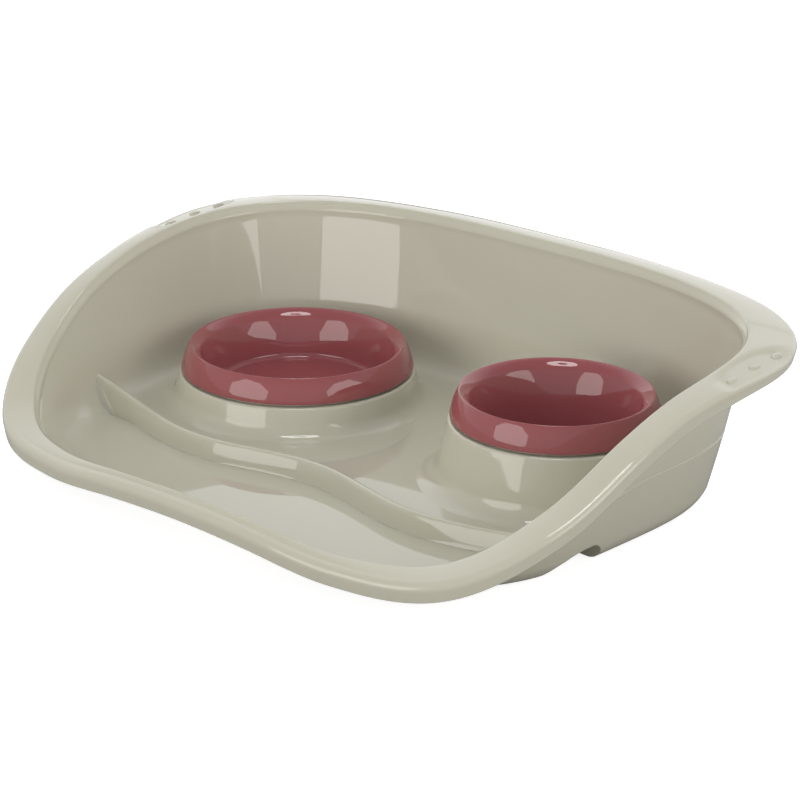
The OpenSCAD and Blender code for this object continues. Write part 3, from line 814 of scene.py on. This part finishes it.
def bowlProfile(bowl):
    r, h, wall, flat = bowl["radius"], bowl["height"], bowls["wall"], bowl["flat"]
    skirt, inward, fillet = bowl["skirt"], bowl["crestIn"], bowl["inside"]
    crestR = r - inward
    floor = bowls["foot"] + wall

    def rim(point):
        return crestR - point[0], h - point[1]

    low, turn, roll = (flat + fillet * 0.6, floor + fillet * 0.85), rim(bowl["turn"]), rim(rimRoll)
    shoulder = (crestR + inward * 0.39, h - 3.5)
    profile = [(0, floor - wall), (0, floor)] + line((0, floor), (flat - fillet * 0.4, floor), 6)
    profile += bezier((flat - fillet * 0.4, floor), (flat + fillet * 0.38, floor), low, 14)
    # a straight steep wall, its turn towards the rim, then a sloping band inside a tight crest
    profile += line(low, turn, 8)
    profile += bezier(turn, rim(bowl["bend"]), roll, 16)
    for bend, end, count in rimCurves:
        profile += bezier(profile[-1], rim(bend), rim(end), count)
    # the rounded shoulder, the flank and the skirt's lower edge
    profile += bezier((crestR, h), (crestR + inward * 0.09, h), shoulder, 12)
    profile += bezier(shoulder, (r - inward * 0.145, h - skirt * 0.575), (r, h - skirt + 0.5), 20)
    profile += bezier((r, h - skirt + 0.5), (r, h - skirt), (r - 0.5, h - skirt), 4)
    profile += [(r - wall + 0.5, h - skirt), (r - wall, h - skirt + 0.5)]
    # up inside the skirt and down the bowl's outer face
    under = (low[0] + wall * 0.95, low[1] - wall * 0.35)
    inTurn = (turn[0] + wall, turn[1] - wall * 0.3)
    inRoll = (roll[0] + wall * 0.9, roll[1] - wall * 0.45)
    profile += bezier((r - wall, h - skirt + 0.5), (r - wall * 1.1, h - wall * 2.8), (crestR, h - wall), 12)
    profile += bezier((crestR, h - wall), (crestR - 3.2, h - wall), inRoll, 8)
    profile += line(inRoll, inTurn, 6)
    profile += line(inTurn, under, 6)
    profile += bezier(under, (flat + fillet * 0.5, floor - wall), (flat, floor - wall), 8)
    # the foot ring
    ring = footRing
    outer, inner = flat - ring["outer"], flat - ring["inner"]
    profile.append((outer, ring["height"]))
    profile += bezier(profile[-1], (outer - ring["bend"], 0), (outer - ring["flat"], 0), 3)
    profile.append((inner + ring["flat"], 0))
    profile += bezier(profile[-1], (inner + ring["bend"], 0), (inner, ring["height"]), 3)
    profile.append((flat - ring["top"], floor - wall))
    return [(x, z + pedestal["socket"]) for x, z in profile]


def buildBowl(name, bowl, nodeName):
    verts, faces = spun(bowlProfile(bowl), (bowl["side"] * tray["bowlX"], bowlY), bowls["segments"])
    piece = meshObject(name, verts, faces, bowlPlastic, 50)
    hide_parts(nodeName)
    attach(piece, nodeName)


buildBowl("foodBowl", bowls["food"], "food_bowl")
buildBowl("waterBowl", bowls["water"], "water_bowl")
print("bowls made")

for foot in ("front_left_foot", "front_right_foot", "rear_left_foot", "rear_right_foot"):
    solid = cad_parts[foot]
    solid.data.materials.clear()
    solid.data.materials.append(footRubber)
print("feet finished")

# The studio. Its sizes are in metres.
studio = {
    "floorSize": 6, "floorColour": 0.5, "floorGrain": 0.004, "floorLift": 0.85, "backdropTurn": 131,
    "backdropRise": 15, "backdropLight": 1.3, "backdropFrom": 0.35, "backdropFull": 0.9,
    "roomLight": 0.75, "ceilingLight": 0.29, "ceilingFrom": 0.3, "ceilingFull": 0.85, "aim": (0, 0, 0.05)}
softboxes = [
    {"name": "leftSoftbox", "azimuth": -98, "elevation": 10, "distance": 1.7, "size": 1.3, "light": 3.7},
    {"name": "rightSoftbox", "azimuth": 2, "elevation": 10, "distance": 1.7, "size": 1.3, "light": 3.4}]
softboxTint = (1, 0.975, 0.945)
overhead = {
    "name": "overheadDish", "azimuth": -50, "elevation": 81, "distance": 1.6, "size": 0.6, "hub": 0.2,
    "segments": 32, "light": 8.5}


def direction(azimuth, elevation):
    turn, rise = math.radians(azimuth), math.radians(elevation)
    return Vector((math.cos(turn) * math.cos(rise), math.sin(turn) * math.cos(rise), math.sin(rise)))


def polygon(radius, corners, firstCorner=0):
    angles = [math.radians(firstCorner) + 2 * math.pi * k / corners for k in range(corners)]
    return [(radius * math.cos(a), radius * math.sin(a), 0) for a in angles]


def makeLightPanel(lamp, verts, faces, tint=(1, 1, 1)):
    # a glowing panel that lights and mirrors in the plastic, and that the camera doesn't see
    mesh = bpy.data.meshes.new(lamp["name"])
    mesh.from_pydata(verts, [], faces)
    glow = bpy.data.materials.new(lamp["name"] + "Glow")
    glow.use_nodes = True
    tree = glow.node_tree
    shader = tree.nodes["Principled BSDF"]
    shader.inputs["Base Color"].default_value = (0, 0, 0, 1)
    shader.inputs["Specular IOR Level"].default_value = 0
    shader.inputs["Emission Color"].default_value = (*tint, 1)
    facing = node(tree, "ShaderNodeNewGeometry")
    front = node(tree, "ShaderNodeMath", {0: 1}, operation="SUBTRACT")
    power = node(tree, "ShaderNodeMath", {1: lamp["light"]}, operation="MULTIPLY")
    tree.links.new(facing.outputs["Backfacing"], front.inputs[1])
    tree.links.new(front.outputs["Value"], power.inputs[0])
    tree.links.new(power.outputs["Value"], shader.inputs["Emission Strength"])
    mesh.materials.append(glow)
    panel = bpy.data.objects.new(lamp["name"], mesh)
    away = direction(lamp["azimuth"], lamp["elevation"])
    panel.matrix_world = Matrix.Translation(Vector(studio["aim"]) + away * lamp["distance"]) \
        @ (-away).to_track_quat("-Z", "Y").to_matrix().to_4x4()
    panel.visible_camera = False
    bpy.context.scene.collection.objects.link(panel)


def makeFloor():
    # matt paper that looks white to the camera and keeps the object's shadow
    half = studio["floorSize"] / 2
    mesh = bpy.data.meshes.new("studioFloor")
    corners = [(-half, -half, 0), (half, -half, 0), (half, half, 0), (-half, half, 0)]
    mesh.from_pydata(corners, [], [(0, 1, 2, 3)])
    floor = bpy.data.objects.new("studioFloor", mesh)
    bpy.context.scene.collection.objects.link(floor)
    paper = bpy.data.materials.new("studioPaper")
    paper.use_nodes = True
    tree = paper.node_tree
    shader = tree.nodes["Principled BSDF"]
    shader.inputs["Roughness"].default_value = 0.9
    shader.inputs["Specular IOR Level"].default_value = 0
    shader.inputs["Emission Color"].default_value = (1, 1, 1, 1)
    place = node(tree, "ShaderNodeTexCoord")
    fibre = node(tree, "ShaderNodeTexNoise", {"Scale": 140, "Detail": 3})
    tone = node(tree, "ShaderNodeMapRange", {
        "To Min": studio["floorColour"] - studio["floorGrain"],
        "To Max": studio["floorColour"] + studio["floorGrain"]})
    tree.links.new(place.outputs["Object"], fibre.inputs["Vector"])
    tree.links.new(fibre.outputs["Fac"], tone.inputs["Value"])
    tree.links.new(tone.outputs["Result"], shader.inputs["Base Color"])
    path = node(tree, "ShaderNodeLightPath")
    seen = node(tree, "ShaderNodeMath", {1: studio["floorLift"]}, operation="MULTIPLY")
    tree.links.new(path.outputs["Is Camera Ray"], seen.inputs[0])
    tree.links.new(seen.outputs["Value"], shader.inputs["Emission Strength"])
    mesh.materials.append(paper)


def makeWorld():
    # the room is bright behind the object, dimmer on the photographer's side, and white to the camera
    world = bpy.data.worlds.new("studioWorld")
    world.use_nodes = True
    tree = world.node_tree
    background = tree.nodes["Background"]
    background.inputs["Color"].default_value = (1, 1, 1, 1)
    ray = node(tree, "ShaderNodeTexCoord")
    toward = node(tree, "ShaderNodeVectorMath", {
        1: direction(studio["backdropTurn"], studio["backdropRise"])}, operation="DOT_PRODUCT")
    tree.links.new(ray.outputs["Generated"], toward.inputs[0])
    height = node(tree, "ShaderNodeSeparateXYZ")
    tree.links.new(ray.outputs["Generated"], height.inputs["Vector"])
    room = node(tree, "ShaderNodeMapRange", {
        "From Min": studio["ceilingFrom"], "From Max": studio["ceilingFull"],
        "To Min": studio["roomLight"], "To Max": studio["ceilingLight"]}, interpolation_type="SMOOTHSTEP")
    tree.links.new(height.outputs["Z"], room.inputs["Value"])
    level = node(tree, "ShaderNodeMapRange", {
        "From Min": studio["backdropFrom"], "From Max": studio["backdropFull"],
        "To Max": studio["backdropLight"]}, interpolation_type="SMOOTHSTEP")
    tree.links.new(toward.outputs["Value"], level.inputs["Value"])
    tree.links.new(room.outputs["Result"], level.inputs["To Min"])
    path = node(tree, "ShaderNodeLightPath")
    strength = node(tree, "ShaderNodeMath", operation="MAXIMUM")
    tree.links.new(path.outputs["Is Camera Ray"], strength.inputs[0])
    tree.links.new(level.outputs["Result"], strength.inputs[1])
    tree.links.new(strength.outputs["Value"], background.inputs["Strength"])
    bpy.context.scene.world = world


def makeLamps():
    # two eight-sided softboxes, and overhead a dish with a dark hub
    for box in softboxes:
        makeLightPanel(box, polygon(box["size"] / 2, 8, 22.5), [list(range(8))[::-1]], softboxTint)
    count = overhead["segments"]
    rings = polygon(overhead["hub"] / 2, count) + polygon(overhead["size"] / 2, count)
    faces = [(k, (k + 1) % count, (k + 1) % count + count, k + count) for k in range(count)]
    makeLightPanel(overhead, rings, faces)


makeFloor()
makeWorld()
makeLamps()
bpy.context.scene.view_settings.view_transform = "Standard"
print("studio made")

camera = {
    "position": (900.4, -1007.9, 553.2), "turn": 41.26, "down": 20.78, "roll": 0.43, "lens": 108,
    "sensor": 36, "near": 50, "far": 30000}


def makeCamera():
    data = bpy.data.cameras.new("photoCamera")
    data.lens = camera["lens"]
    data.sensor_width = camera["sensor"]
    data.sensor_fit = "HORIZONTAL"
    data.clip_start, data.clip_end = camera["near"] * mm, camera["far"] * mm
    holder = bpy.data.objects.new("photoCamera", data)
    turn, down = math.radians(camera["turn"]), math.radians(camera["down"])
    rotation = Matrix.Rotation(turn, 3, "Z") @ Matrix.Rotation(math.pi / 2 - down, 3, "X") \
        @ Matrix.Rotation(math.radians(camera["roll"]), 3, "Z")
    holder.matrix_world = Matrix.Translation(Vector(camera["position"]) * mm) @ rotation.to_4x4()
    bpy.context.scene.collection.objects.link(holder)
    bpy.context.scene.camera = holder


makeCamera()
print("camera made")
